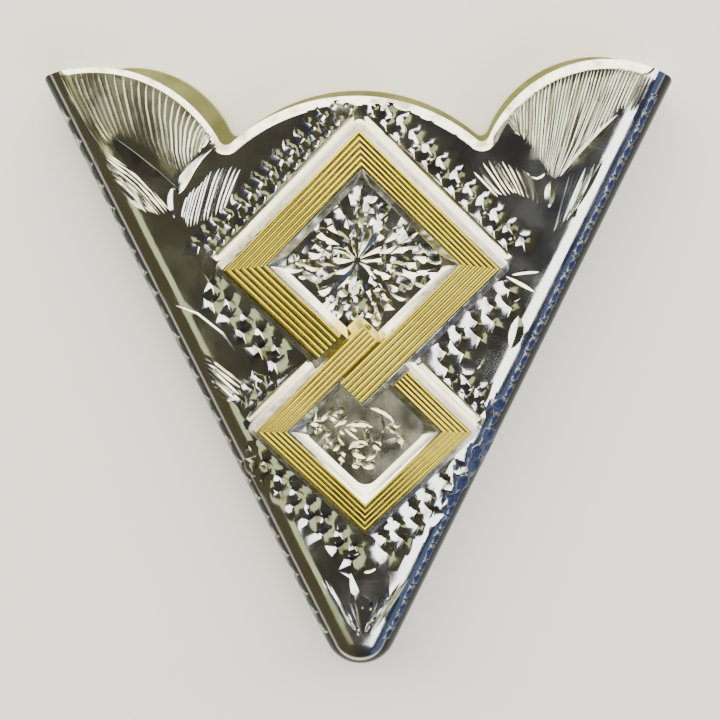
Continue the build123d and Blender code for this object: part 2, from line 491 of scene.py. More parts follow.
def cut_lobes():
    # Fine lines that hang from the rim of each lobe
    fan(hung([
        [(-19.3, 20.85), (-18.1, 18.1), (-16.75, 16.0)],
        [(-18.0, 21.0), (-17.2, 18.6), (-16.2, 16.6)],
        [(-16.6, 20.85), (-15.9, 18.6), (-15.35, 16.85)],
        [(-14.6, 20.25), (-14.2, 18.0), (-13.6, 15.9)],
        [(-13.0, 19.4), (-12.75, 17.5), (-12.1, 14.6)],
        [(-11.6, 18.35), (-11.6, 16.5), (-11.35, 14.5)],
        [(-10.35, 17.3), (-10.6, 16.4), (-10.75, 15.4)],
        [(-9.75, 16.8), (-9.9, 16.4), (-10.1, 16.1)],
    ], -1, 0.3), 27, 0.25, 0.042, satin=True)
    fan(hung([
        [(10.3, 17.6), (10.5, 17.0)],
        [(11.0, 18.5), (10.8, 16.9)],
        [(12.0, 19.3), (11.6, 16.0)],
        [(13.0, 20.0), (12.35, 14.9)],
        [(14.0, 20.5), (13.3, 17.5), (12.75, 14.3)],
        [(15.0, 20.9), (14.0, 17.0), (13.05, 14.1)],
        [(16.0, 21.0), (15.0, 17.6), (13.4, 14.3)],
        [(17.0, 21.0), (16.0, 18.4), (14.9, 15.9)],
        [(18.0, 20.85), (17.1, 18.6)],
        [(19.0, 20.6), (18.0, 18.4)],
    ], 1, 0.5), 42, 0.22, 0.036, satin=True)


def cut_feathers():
    # Groups of long strokes below each lobe
    fan([
        [(-16.5, 15.95), (-14.6, 14.5), (-12.35, 11.9)],
        [(-16.6, 14.9), (-15.0, 13.6), (-13.3, 11.7)],
        [(-16.0, 13.9), (-15.1, 12.9), (-14.5, 12.1)],
    ], 10, 0.32, 0.08, "leaf")
    fan([
        [(-11.2, 12.9), (-11.4, 12.3), (-11.6, 11.6)],
        [(-10.3, 13.8), (-10.8, 12.4), (-11.2, 10.9)],
        [(-9.4, 14.7), (-10.0, 12.9), (-10.5, 11.1)],
        [(-8.5, 15.0), (-9.2, 13.2), (-9.7, 11.5)],
        [(-7.6, 14.7), (-8.3, 13.2), (-8.8, 11.9)],
    ], 14, 0.20, 0.045)
    fan([
        [(7.8, 14.6), (8.6, 13.7), (9.4, 12.95)],
        [(8.8, 15.5), (9.6, 14.2), (10.3, 13.1)],
        [(9.8, 15.2), (10.5, 14.1), (11.0, 13.0)],
        [(11.3, 14.5), (11.8, 13.5), (12.0, 12.5)],
    ], 11, 0.26, 0.07)
    fan([
        [(14.0, 14.4), (13.6, 12.6), (13.1, 10.6)],
        [(15.2, 14.9), (14.6, 13.2), (13.8, 11.2)],
        [(16.2, 15.4), (15.5, 13.9), (14.6, 12.2)],
    ], 8, 0.26, 0.06, "leaf")
    fan([
        [(-10.6, 2.2), (-9.2, 1.2), (-7.7, -0.2)],
        [(-10.4, 1.2), (-9.4, 0.2), (-8.2, -1.0)],
        [(-9.8, -0.2), (-9.3, -0.7), (-8.7, -1.3)],
    ], 7, 0.30, 0.07)


def cut_corners():
    # Leaves, drops and sickles between the lines of each lobe and the borders, and at the waist
    cut("leaf", [(-16.15, 17.0), (-13.9, 15.2), (-11.75, 13.4)], 1.1, 0.10, 0.12)
    cut("leaf", [(17.0, 18.2), (15.1, 16.2), (13.4, 14.2)], 0.75, 0.10, 0.6)
    cut("leaf", [(-12.1, 13.6), (-12.2, 12.5), (-12.1, 11.5)], 0.75, 0.13, 0.55)
    cut("leaf", [(12.85, 14.0), (12.8, 13.1), (12.75, 12.2)], 0.7, 0.13, 0.45)
    cut("tear", [(-9.4, 16.1), (-10.7, 14.9), (-11.75, 13.1)], 0.7, 0.12, 0.4)
    cut("stroke", [(11.2, 14.5), (11.8, 14.15), (12.4, 14.45)], 0.25, 0.08)
    cut("line", [(-12.3, 5.5), (-10.9, 5.1), (-9.3, 3.9), (-8.3, 2.3)], 0.24, 0.06)
    cut("leaf", [(10.9, 4.9), (10.8, 3.8), (10.4, 2.6)], 1.0, 0.12, 0.5)
    cut("line", [(12.2, 7.9), (11.2, 7.9), (10.4, 7.7)], 0.3, 0.08)
    cut("leaf", [(10.0, 7.6), (11.0, 7.2), (12.0, 6.5)], 0.45, 0.10)
    cut("leaf", [(8.9, 2.8), (8.6, 2.0), (8.2, 1.2)], 0.35, 0.08)


def lit(start, end, share):
    # lean that gives this share of a cut's width to the facet that faces the mouth
    return share if end[0] < start[0] else 1 - share


def scooped_border(place, centres, near, far_out):
    # Two rows of scoops beside a frame, the second row between those of the first. Each row runs
    # from its first distance from the frame to its second and ends there in a steep wall.
    pitch = centres[1] - centres[0]
    start_at, bend_at, end_at = 0.12, -0.10, 0.04
    depth_share = 0.17
    for centre in centres:
        for row, middle, wide in ((far_out, centre, 0.92), (near, centre + pitch / 2, 0.74)):
            middle += uneven(0.05)
            start = place(middle + start_at, row[0] + uneven(0.08))
            bend = place(middle + bend_at, (row[0] + row[1]) / 2)
            end = place(middle + end_at, row[1] + uneven(0.08))
            width = wide * pitch * (1 + uneven(0.08))
            cut("scoop", [start, bend, end], width, depth_share * width, lit(start, end, 0.6))


def bright_band(place, start, end):
    # The plain band outside a frame's upper bar slopes down away from the bar
    keel = -0.06
    satin_strength = 0.8
    first, last = place(start, keel), place(end, keel)
    left_of_keel = [first[1] - last[1], last[0] - first[0]]
    bar_on_left = np.dot(place(start, 1.0) - first, left_of_keel) < 0
    cut("strip", [first, last], 0.5, 0.24, 0.85 if bar_on_left else 0.15)
    edges = [place(start, -band), place(end, -band), place(end, 0.0), place(start, 0.0)]
    satin_patches.append((np.array(edges), satin_strength))


def cut_borders():
    # Outwards from each frame. Each side's scoops are given as (from, to, pitch).
    upward = {"near": (1.15, 0.12), "far_out": (2.05, 0.95)}
    downward = {"near": (0.15, 1.1), "far_out": (0.65, 2.15)}
    upper = slope + band
    past_corner = 0.3
    for sides in (
        {"size": large, "left": (-0.6, 13.6, 1.02), "right": (-0.9, 12.4, 1.25),
         "lower_left": (5.0, 12.2, 1.5), "lower_right": (5.2, 12.5, 1.5),
         "left_end": large["p"][1] + past_corner, "right_start": large["q"][1] + past_corner},
        {"size": small, "left": (-6.4, -3.5, 1.02), "right": (-7.6, -4.0, 1.25),
         "lower_left": (-8.8, 2.5, 1.45), "lower_right": (-7.3, 3.3, 1.5),
         "left_end": -1.2, "right_start": -2.0},
    ):
        p_low, p_high = sides["size"]["p"]
        q_low, q_high = sides["size"]["q"]
        places = {
            "left": lambda a, v: turned(a, q_high + upper + v),
            "right": lambda a, v: turned(p_high + upper + v, a),
            "lower_left": lambda a, v: turned(p_low - slope - v, a),
            "lower_right": lambda a, v: turned(a, q_low - slope - v),
        }
        for side in ("left", "right"):
            scooped_border(places[side], np.arange(*sides[side]), **upward)
        bright_band(places["left"], p_low, sides["left_end"])
        bright_band(places["right"], sides["right_start"], q_low)
        for side in ("lower_left", "lower_right"):
            scooped_border(places[side], np.arange(*sides[side]), **downward)


def dull_field(size, strength):
    # The sheet inside a diamond is a little satin
    p_low, p_high = size["open_p"]
    q_low, q_high = size["open_q"]
    outline = [turned(p_low, q_low), turned(p_high, q_low), turned(p_high, q_high), turned(p_low, q_high)]
    satin_patches.append((np.array(outline), strength))


def in_opening(point, size, margin):
    # Whether a plan point lies inside a diamond's opening by this margin
    c, s = math.cos(overlay_turn), math.sin(overlay_turn)
    p, q = point[0] * c + point[1] * s, point[1] * c - point[0] * s
    p_low, p_high = size["open_p"]
    q_low, q_high = size["open_q"]
    return p_low + margin < p < p_high - margin and q_low + margin < q < q_high - margin


def spoke(k, count):
    # Directions along and across one of several spokes, spread almost evenly
    turn = 2 * math.pi * (k + uneven(0.25)) / count
    toward = np.array([math.cos(turn), math.sin(turn)])
    return toward, np.array([-toward[1], toward[0]])


def cut_large_field():
    # A burst inside the large diamond: a flower of petals, with rings of chips round it
    middle = np.array([0.1, 8.65])
    petals = 14
    half_chip = 0.55
    chip_pitch = 0.82
    for k in range(petals):
        toward, across = spoke(k, petals)
        end = middle + toward * (1.9 + uneven(0.5))
        bend = (middle + end) / 2 + across * uneven(0.25)
        cut("tear", [middle + toward * 0.2, bend, end], 0.75 * (1 + uneven(0.15)), 0.22, 0.5 + uneven(0.25))
    for radius in (2.0, 2.75, 3.5, 4.25, 5.0):
        count = round(2 * math.pi * radius / chip_pitch)
        for k in range(count):
            toward, across = spoke(k, count)
            start = middle + toward * (radius - half_chip + uneven(0.12)) + across * uneven(0.25)
            end = middle + toward * (radius + half_chip + uneven(0.12)) + across * uneven(0.25)
            if not in_opening(end, large, 0.45) or not in_opening(start, large, 0.3):
                continue
            bend = (start + end) / 2 + across * uneven(0.15)
            cut("tear", [start, bend, end], 0.74 * (1 + uneven(0.15)), 0.20, 0.5 + uneven(0.28))


def cut_small_field():
    strokes = [
        [(-2.6, -2.6), (-1.6, -1.5)], [(-1.4, -2.1), (-0.9, -1.5)], [(-1.9, -2.2), (-1.4, -2.5)],
        [(-3.2, -2.7), (-2.6, -2.8)], [(-1.6, -3.0), (-0.6, -2.1)], [(-0.8, -2.9), (0.3, -2.7), (1.1, -3.0)],
        [(-2.5, -3.9), (-1.9, -3.2)], [(-1.5, -3.3), (-0.9, -4.3)], [(-0.9, -3.1), (-0.1, -3.7), (0.1, -3.9)],
        [(-0.6, -4.6), (-0.2, -4.1), (0.4, -4.0), (0.8, -4.4)], [(0.3, -3.0), (0.6, -3.6), (0.6, -4.1)],
        [(0.9, -1.6), (1.7, -1.8), (2.4, -2.3), (2.6, -2.8)], [(1.3, -2.1), (1.7, -2.8), (1.7, -3.4)],
        [(2.2, -3.0), (2.6, -3.4)], [(1.0, -4.1), (1.6, -4.6)], [(-1.7, -4.7), (-1.3, -4.3)],
        [(-0.5, -4.7), (0.6, -5.2)], [(0.6, -5.4), (1.2, -4.7)], [(-1.4, -4.9), (-0.9, -5.5)],
        [(-0.4, -5.7), (0.1, -5.9)], [(0.4, -5.9), (1.3, -5.6)], [(2.7, -3.8), (3.3, -3.9)],
        [(-2.3, -4.2), (-2.0, -4.5)], [(-3.0, -3.4), (-2.7, -3.2)],
    ]
    for stroke in strokes:
        cut("leaf", stroke, 0.42 * (1 + uneven(0.2)), 0.13, 0.5 + uneven(0.2))
        shift = np.array([0.32 + uneven(0.1), 0.12 + uneven(0.1)])
        start, end = np.array(stroke[0]) + shift, np.array(stroke[-1]) + shift
        cut("leaf", [start, (start + end) / 2 + uneven(0.1)], 0.30, 0.11, 0.5 + uneven(0.2))


def cut_tip():
    # A V of leaves below the small diamond
    fan([[(-2.6, -14.3), (-1.6, -16.2), (-0.5, -18.3)], [(-2.1, -14.4), (-1.2, -16.2), (-0.3, -18.0)]],
        3, 0.28, 0.08, "leaf")
    fan([[(3.6, -14.3), (2.4, -16.2), (1.1, -18.2)], [(3.1, -14.3), (2.0, -16.0), (0.9, -17.9)]],
        3, 0.28, 0.08, "leaf")
    fan([[(-1.9, -15.8), (-1.0, -17.1), (0.0, -18.6)], [(-0.3, -15.9), (0.0, -17.2), (0.15, -18.5)]],
        6, 0.20, 0.05)
    fan([[(2.5, -15.4), (1.5, -16.9), (0.5, -18.4)], [(1.2, -15.6), (0.8, -16.9), (0.35, -18.3)]],
        6, 0.20, 0.05)
    cut("tear", [(-0.6, -13.6), (-0.2, -14.6), (0.2, -15.6)], 0.8, 0.12, 0.3)
    cut("leaf", [(0.95, -15.7), (0.9, -16.2), (0.85, -16.7)], 0.4, 0.10)
    cut("kite", [(2.2, -15.1), (1.9, -15.9)], 0.45, 0.10)
    cut("leaf", [(0.85, -17.4), (0.8, -18.0), (0.7, -18.6)], 0.28, 0.08)
    cut("line", [(-0.6, -17.0), (-0.3, -17.9), (0.0, -18.6)], 0.25, 0.08)
    cut("line", [(0.2, -15.9), (0.3, -16.5)], 0.2, 0.06)
    cut("line", [(0.4, -13.7), (0.9, -13.6), (1.3, -13.2)], 0.25, 0.08)


def pit_and_chip(here, pitch):
    # A round pit on the right roll, with a small chip after it
    middle = here + side_out * 1.7
    half = side_up * 0.34
    cut("leaf", [middle - half, middle + half], 0.62, 0.13)
    chip = here + side_up * 0.55 * pitch
    cut("dart", [chip + side_out * 1.3, chip + side_out * 1.75], 0.36, 0.09)


def side_notch(here):
    # A notch near the foot of the left side
    start = mirrored(here + side_out * 1.75, -1)
    end = mirrored(here + side_out * 2.95 + side_up * 0.15, -1)
    cut("dart", [start, end], 1.15, 0.2, 0.5 + uneven(0.1))


def cut_sides():
    clear_of_tip = 1.2
    clear_of_mouth = 1.0
    for hand, pitch in ((1, 1.17), (-1, 1.6)):
        along = clear_of_tip
        while along < mouth_along(hand, 0.0) - clear_of_mouth:
            here = tip_centre + side_up * along + side_out * (flat_tip_radius + uneven(0.08))
            if hand == 1:
                pit_and_chip(here, pitch)
            else:
                side_notch(here)
            along += pitch * (1 + uneven(0.1))


def cut_all():
    cut_lobes()
    cut_feathers()
    cut_corners()
    cut_borders()
    cut_large_field()
    dull_field(large, 0.3)
    cut_small_field()
    dull_field(small, 1.0)
    cut_tip()
    cut_sides()


def rim_line(edge, share):
    # A line along the mouth's bevel, from its inner side (share 1) to the edge (share 0)
    line = edge + left_of(edge) * share * bevel_width(edge)[:, None]
    over, _ = beyond_flat(line)
    return line[over < bevel_fade]


class MeshBuilder:
    # Gathers faces whose corners are shared where they fall in the same place
    def __init__(self):
        self.corners = []
        self.faces = []
        self.found = {}

    def corner(self, point):
        key = tuple(round(float(c), 4) for c in point)
        if key not in self.found:
            self.found[key] = len(self.corners)
            self.corners.append(tuple(float(c) for c in point))
        return self.found[key]

    def new_corner(self, point):
        self.corners.append(tuple(float(c) for c in point))
        return len(self.corners) - 1

    def face(self, points):
        loop = []
        for index in [self.corner(p) for p in points]:
            if index not in loop:
                loop.append(index)
        if len(loop) > 2:
            self.faces.append(loop)

    def fan_out(self, point, row):
        for i in range(len(row) - 1):
            self.face([point, row[i], row[i + 1]])

    def strip(self, row_a, row_b):
        for i in range(len(row_a) - 1):
            self.face([row_a[i], row_a[i + 1], row_b[i + 1], row_b[i]])

    def mesh(self, name):
        mesh = bpy.data.meshes.new(name)
        mesh.from_pydata([tuple(c * mm for c in corner) for corner in self.corners], [], self.faces)
        mesh.validate()
        return mesh


def new_object(name, mesh):
    piece = bpy.data.objects.new(name, mesh)
    bpy.context.scene.collection.objects.link(piece)
    return piece


def mark_sharp(mesh, depth):
    # Keeps every edge crisp where a cut leaves the plain sheet or folds
    fold = math.radians(20)
    plain_fold = math.radians(32)
    work = bmesh.new()
    work.from_mesh(mesh)
    in_cut = [any(depth[v.index] > plain_depth for v in face.verts) for face in work.faces]
    for edge in work.edges:
        if len(edge.link_faces) != 2:
            continue
        a, b = (in_cut[face.index] for face in edge.link_faces)
        angle = edge.calc_face_angle(0.0)
        edge.smooth = not (a != b or angle > (fold if a else plain_fold))
    work.to_mesh(mesh)
    work.free()


def flat_points():
    # Points over the flat of the front, so that it can wave a little
    reach = overall_height / 2
    steps = np.arange(-reach, reach, flat_step)
    points = np.array([(x + flat_step / 2 * (row % 2), y) for row, y in enumerate(steps) for x in steps])
    over, _ = beyond_flat(points)
    return points[over < -flat_step / 2]


def waves(points):
    # Gentle unevenness of the hand-worked sheet, none on the rolled sides
    over, _ = beyond_flat(points)
    fade = wave_height * np.clip(1 - over / bevel_fade, 0.0, 1.0)
    return fade * np.array([noise.noise((x / wave_length, y / wave_length, 0.0)) for x, y in points])


def shell_grid(outline, edge):
    # Mesh points of the rolled sides and the flat, clear of the mouth's edge
    rows = []
    for row in range(roll_rows + 1):
        turn = math.pi / 2 * row / roll_rows
        laid = side_row(turn * roll_radius, roll_radius * (1 - math.sin(turn)))
        rows.append(laid[1:-1])
    grid = np.vstack(rows + [flat_points()])
    grid = grid[inside(grid, outline)]
    return grid[mouth_distance(grid, edge) > least_gap]


def close_up(mesh):
    # Fills the slits that cuts leave along the mouth and turns every face outwards
    work = bmesh.new()
    work.from_mesh(mesh)
    slits = [edge for edge in work.edges if len(edge.link_faces) == 1]
    bmesh.ops.holes_fill(work, edges=slits, sides=0)
    bmesh.ops.recalc_face_normals(work, faces=work.faces)
    work.to_mesh(mesh)
    work.free()


def store(mesh, name, values):
    # Keeps one number per vertex for the material
    mesh.attributes.new(name, "FLOAT", "POINT").data.foreach_set("value", values)


def shell_mesh():
    edge = mouth_edge()
    foot_row = side_row(front_reach, 0.0)
    outline = np.vstack([edge[::-1], foot_row[1:-1]])
    grid = shell_grid(outline, edge)
    cut_all()
    lines = [rim_line(edge, share) for share in rim_shares]
    for one in cuts:
        lines += outlines(one)
    builder = MeshBuilder()
    depth_of = {}
    for inward, folds in ((0.0, lines), (sheet, [])):
        corners, triangles, became = triangulate(outline, grid, folds)
        depth = sunk(corners, edge) if inward == 0.0 else np.zeros(len(corners))
        placed = roll_up(corners, inward + depth + waves(corners))
        on_outline = set(became)
        corner_of = [builder.corner(point) if i in on_outline else builder.new_corner(point)
                     for i, point in enumerate(placed)]
        builder.faces += [[corner_of[i] for i in triangle] for triangle in triangles]
        depth_of.update(zip(corner_of, depth))
        if inward == 0.0:
            satin = np.zeros(len(corners))
            for patch, strength in satin_patches:
                satin[inside(corners, patch)] = strength
            satin_of = dict(zip(corner_of, satin))
        rim = placed[[became[i] for i in range(len(edge))]]
        rows = bottom_rows_of(inward)
        for row_a, row_b in zip(rows[:-1], rows[1:]):
            builder.strip(row_a, row_b)
        if inward == 0.0:
            outer_rim, outer_rows = rim, rows
    builder.strip(outer_rows[-1], rows[-1])
    for end in (0, -1):
        builder.strip([row[end] for row in outer_rows], [row[end] for row in rows])
    builder.strip(outer_rim, rim)
    mesh = builder.mesh("shell_skin")
    close_up(mesh)
    indices = range(len(mesh.vertices))
    depth = [depth_of.get(i, 0.0) for i in indices]
    rise = [(v.co.z / mm - thickness + roll_radius) / roll_radius for v in mesh.vertices]
    store(mesh, "cut", depth)
    store(mesh, "satin", [satin_of.get(i, 0.0) for i in indices])
    store(mesh, "turn", [math.acos(max(-1.0, min(1.0, r))) / (math.pi / 2) for r in rise])
    mesh.shade_smooth()
    mark_sharp(mesh, depth)
    return mesh


def ridge_points(ridges):
    # (share across a bar's top, depth) over its rounded ridges
    shape = [(0.0, 1.0), (0.18, 0.55), (0.34, 0.14), (0.50, 0.0), (0.66, 0.14), (0.82, 0.55)]
    points = [((i + at) / ridges, depth * groove) for i in range(ridges) for at, depth in shape]
    return points + [(1.0, groove)]


def bar_profile(outer, inner, ridges):
    # Section of one bar as (position, z, corner radius) from its outer foot to its inner one
    away = 1 if outer > inner else -1
    base = top_z - wall_drop
    points = [(outer + away * slope, foot_z, 0.5), (outer + away * wall_run, base, 0.1)]
    for share, depth in ridge_points(ridges):
        points.append((outer + (inner - outer) * share, top_z - depth, 0.0))
    points += [(inner - away * wall_run, base, 0.3), (inner - away * slope, foot_z, 0.95)]
    return points


def ring_corner(p, q, corner, radius):
    # Points round one corner of a rectangle. Corners run from the left, counter-clockwise.
    if radius == 0.0:
        return [(p, q)]
    sign_p = (-1, 1, 1, -1)[corner]
    sign_q = (-1, -1, 1, 1)[corner]
    centre = np.array([p - sign_p * radius, q - sign_q * radius])
    start = math.pi * (1 + corner / 2)
    angles = np.linspace(start, start + math.pi / 2, corner_steps + 1)
    return [tuple(centre + radius * np.array([math.cos(a), math.sin(a)])) for a in angles]


def ridged_ring(size):
    # A whole square frame with mitred ridges and rounded feet
    ridges = size["ridges"]
    p_low = bar_profile(size["p"][0], size["open_p"][0], ridges)
    p_high = bar_profile(size["p"][1], size["open_p"][1], ridges)
    q_low = bar_profile(size["q"][0], size["open_q"][0], ridges)
    q_high = bar_profile(size["q"][1], size["open_q"][1], ridges)
    rings = []
    for low_p, high_p, low_q, high_q in zip(p_low, p_high, q_low, q_high):
        places = [(low_p[0], low_q[0]), (high_p[0], low_q[0]), (high_p[0], high_q[0]), (low_p[0], high_q[0])]
        z, radius = low_p[1], low_p[2]
        rings.append([[(p, q, z) for p, q in ring_corner(*place, corner, radius)]
                      for corner, place in enumerate(places)])
    builder = MeshBuilder()
    for this, other in zip(rings, rings[1:] + rings[:1]):
        for corner in range(4):
            a, b = this[corner], other[corner]
            if len(a) == len(b):
                builder.strip(a, b)
            elif len(a) == 1:
                builder.fan_out(a[0], b)
            else:
                builder.fan_out(b[0], a)
            builder.face([a[-1], this[(corner + 1) % 4][0], other[(corner + 1) % 4][0], b[-1]])
    return builder


def straight_bar(outer, inner, ridges, p_sloped, p_plain):
    # One bar along p. Its ridges run straight out at both ends, and the first end slopes down.
    away = 1 if p_sloped > p_plain else -1
    section = bar_profile(outer, inner, ridges)
    run = end_run / (top_z - foot_z)
    sloped = [(p_sloped + away * run * (top_z - z), q, z) for q, z, _ in section]
    plain = [(p_plain, q, z) for q, z, _ in section]
    builder = MeshBuilder()
    builder.strip(sloped + sloped[:1], plain + plain[:1])
    builder.face(sloped)
    builder.face(plain)
    return builder


def block(p_low, p_high, q_low, q_high, z_low, z_high):
    # A plain box between the given limits
    builder = MeshBuilder()
    lower = [(p_low, q_low, z_low), (p_high, q_low, z_low), (p_high, q_high, z_low), (p_low, q_high, z_low)]
    upper = [(p, q, z_high) for p, q, _ in lower]
    builder.face(lower)
    builder.face(upper)
    builder.strip(lower + lower[:1], upper + upper[:1])
    return builder


def solid(name, builder):
    # A closed object from gathered faces
    mesh = builder.mesh(name)
    close_up(mesh)
    return new_object(name, mesh)


def combine(body, tool_builder, operation):
    # Cuts a shape from the body, or joins it on
    tool = solid("tool", tool_builder)
    change = body.modifiers.new("change", "BOOLEAN")
    change.operation = operation
    change.object = tool
    change.solver = "EXACT"
    made = bpy.data.meshes.new_from_object(body.evaluated_get(bpy.context.evaluated_depsgraph_get()))
    body.modifiers.clear()
    body.data = made
    bpy.data.objects.remove(tool)


def cut_away(body, *limits):
    combine(body, block(*limits), "DIFFERENCE")


def finish_frame(body, node):
    body.data.transform(Matrix.Rotation(overlay_turn, 4, "Z"))
    body.data.shade_smooth()
    body.data.set_sharp_from_angle(angle=math.radians(40))
    body.data.materials.clear()
    body.data.materials.append(gold)
    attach(body, "root")
    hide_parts(node)


def diamonds():
    # The two frames, each over the other once
    half_gap = lap_gap / 2
    margin = slope + lap_gap
    overlap = 0.1
    large_under = (large["p"][0] - margin, large["open_p"][0] + margin)
    small_under = (small["open_p"][1] - margin, small["p"][1] + margin)

    big = solid("large_frame", ridged_ring(large))
    end_p = small_under[1] + overlap
    cut_away(big, -far, end_p, -far, split_q, 0, far)
    covered = small["q"][1] + margin
    cut_away(big, -far, end_p, split_q - half_gap, covered, lap_z - half_gap, far)
    cut_away(big, large_under[1], end_p, split_q - half_gap, covered, 0, far)
    bar = straight_bar(large["q"][0], large["open_q"][0], large["ridges"], large["p"][0], end_p)
    combine(big, bar, "UNION")
    cut_away(big, small_under[0], small_under[1], -far, split_q, 0, lap_z + half_gap)
    finish_frame(big, "large_diamond")

    little = solid("small_frame", ridged_ring(small))
    end_p = large_under[0] - overlap
    beside_p = large["p"][0] - lap_gap
    cut_away(little, end_p, far, split_q, far, 0, far)
    covered = large["q"][0] - margin
    cut_away(little, beside_p, far, covered, split_q + half_gap, lap_z - half_gap, far)
    cut_away(little, beside_p, small_under[0], covered, split_q + half_gap, 0, far)
    bar = straight_bar(small["q"][1], small["open_q"][1], small["ridges"], small["p"][1], end_p)
    combine(little, bar, "UNION")
    cut_away(little, large_under[0], large_under[1], split_q, far, 0, lap_z + half_gap)
    finish_frame(little, "small_diamond")


class Nodes:
    # Short ways to add and link the nodes of one tree
    def __init__(self, tree):
        self.tree = tree

    def feed(self, socket, value):
        # Links another node's output to a socket, or sets the socket's own value
        if isinstance(value, bpy.types.NodeSocket):
            self.tree.links.new(value, socket)
        else:
            socket.default_value = value

    def node(self, kind, **inputs):
        made = self.tree.nodes.new(kind)
        for key, value in inputs.items():
            self.feed(made.inputs[key.replace("_", " ")], value)
        return made

    def attribute(self, name):
        made = self.node("ShaderNodeAttribute")
        made.attribute_name = name
        return made.outputs["Fac"]

    def span(self, value, low, high, to_low=0.0, to_high=1.0):
        made = self.node("ShaderNodeMapRange", Value=value, From_Min=low, From_Max=high,
                         To_Min=to_low, To_Max=to_high)
        made.interpolation_type = "SMOOTHSTEP"
        return made.outputs[0]

    def maths(self, operation, a, b):
        made = self.node("ShaderNodeMath")
        made.operation = operation
        self.feed(made.inputs[0], a)
        self.feed(made.inputs[1], b)
        return made.outputs[0]

    def blend(self, share, a, b):
        # Mixes two colours
        made = self.node("ShaderNodeMix")
        made.data_type = "RGBA"
        self.feed(made.inputs[0], share)
        for socket, value in zip([s for s in made.inputs if s.type == "RGBA"], (a, b)):
            self.feed(socket, (*value, 1.0) if isinstance(value, tuple) else value)
        return [s for s in made.outputs if s.type == "RGBA"][0]


class Metal(Nodes):
    # A material with one metallic shader
    def __init__(self, name, colour, roughness):
        self.material = bpy.data.materials.new(name)
        self.material.use_nodes = True
        super().__init__(self.material.node_tree)
        self.shader = self.tree.nodes["Principled BSDF"]
        self.place = self.node("ShaderNodeTexCoord").outputs["Object"]
        self.into("Base Color", (*colour, 1.0))
        self.into("Metallic", 1.0)
        self.into("Roughness", roughness)

    def into(self, name, value):
        self.feed(self.shader.inputs[name], value)

    def noise(self, size, detail=4.0, stretch=(1.0, 1.0, 1.0)):
        # Noise whose blotches are about size millimetres across
        scale = [s / (size * mm) for s in stretch]
        scaled = self.node("ShaderNodeMapping", Vector=self.place, Scale=scale).outputs[0]
        return self.node("ShaderNodeTexNoise", Vector=scaled, Scale=1.0, Detail=detail).outputs["Fac"]

    def bump(self, height, distance):
        made = self.node("ShaderNodeBump", Height=height, Distance=distance * mm, Strength=1.0)
        self.into("Normal", made.outputs[0])


def engraved_silver():
    # Polished nickel silver: tarnish and painted shade in the cuts, a painted dark reflection high on the
    # rolled sides, a painted navy reflection in the pits
    metal = Metal("nickel_silver", (0.80, 0.79, 0.73), 0.12)
    depth = metal.attribute("cut")
    turn = metal.attribute("turn")
    satin = metal.attribute("satin")
    axes = metal.node("ShaderNodeSeparateXYZ", Vector=metal.place).outputs
    # Tarnish in the cuts together with painted shade: a blotchy brown-grey darkening that grows with the
    # depth of a cut
    tarnish_and_shade = metal.maths("MULTIPLY", metal.span(metal.noise(1.4), 0.46, 0.66), metal.span(depth, 0.0, 0.1))
    bright = metal.blend(metal.noise(6.0), (0.84, 0.83, 0.76), (0.74, 0.73, 0.68))
    tarnished_and_shaded = metal.blend(tarnish_and_shade, bright, (0.36, 0.34, 0.26))
    dull = metal.blend(metal.noise(3.0), (0.72, 0.70, 0.54), (0.60, 0.58, 0.43))
    surface = metal.blend(satin, tarnished_and_shaded, dull)
    # Painted dark reflection: the upper outer part of the rolled sides, away from the cuts, is painted near
    # black and made less metallic
    painted_roll_reflection = metal.span(turn, 0.38, 0.46)
    painted_roll_reflection = metal.maths("MULTIPLY", painted_roll_reflection, metal.span(axes["Z"], 1.4 * mm, 2.6 * mm))
    painted_roll_reflection = metal.maths("MULTIPLY", painted_roll_reflection, metal.span(depth, 0.0, 0.06, 1.0, 0.0))
    # Painted navy reflection in the pits on the right roll only
    painted_pit_reflection = metal.maths("MULTIPLY", metal.span(axes["X"], 0.0, mm), metal.span(turn, 0.33, 0.37))
    painted_pit_reflection = metal.maths("MULTIPLY", painted_pit_reflection, metal.span(depth, 0.0, 0.03))
    # Both painted reflections together darken the base colour and lower the metallic share
    painted_reflection_mask = metal.maths("MAXIMUM", painted_roll_reflection, painted_pit_reflection)
    # Painted reflection colours: near black on the rolled sides, navy in the pits
    painted_reflection_colour = metal.blend(painted_pit_reflection, (0.014, 0.015, 0.020), (0.03, 0.045, 0.11))
    metal.into("Base Color", metal.blend(painted_reflection_mask, surface, painted_reflection_colour))
    metal.into("Metallic", metal.span(painted_reflection_mask, 0.0, 1.0, 1.0, 0.3))
    metal.into("Specular IOR Level", 0.15)
    metal.into("Specular Tint", (0.25, 0.25, 0.27, 1.0))
    polish = metal.span(metal.noise(2.5), 0.3, 0.7, 0.08, 0.16)
    metal.into("Roughness", metal.maths("MULTIPLY", polish, metal.span(satin, 0.0, 1.0, 1.0, 1.9)))
    metal.bump(metal.noise(0.35, 6.0, (1.0, 0.25, 1.0)), 0.003)
    return metal.material


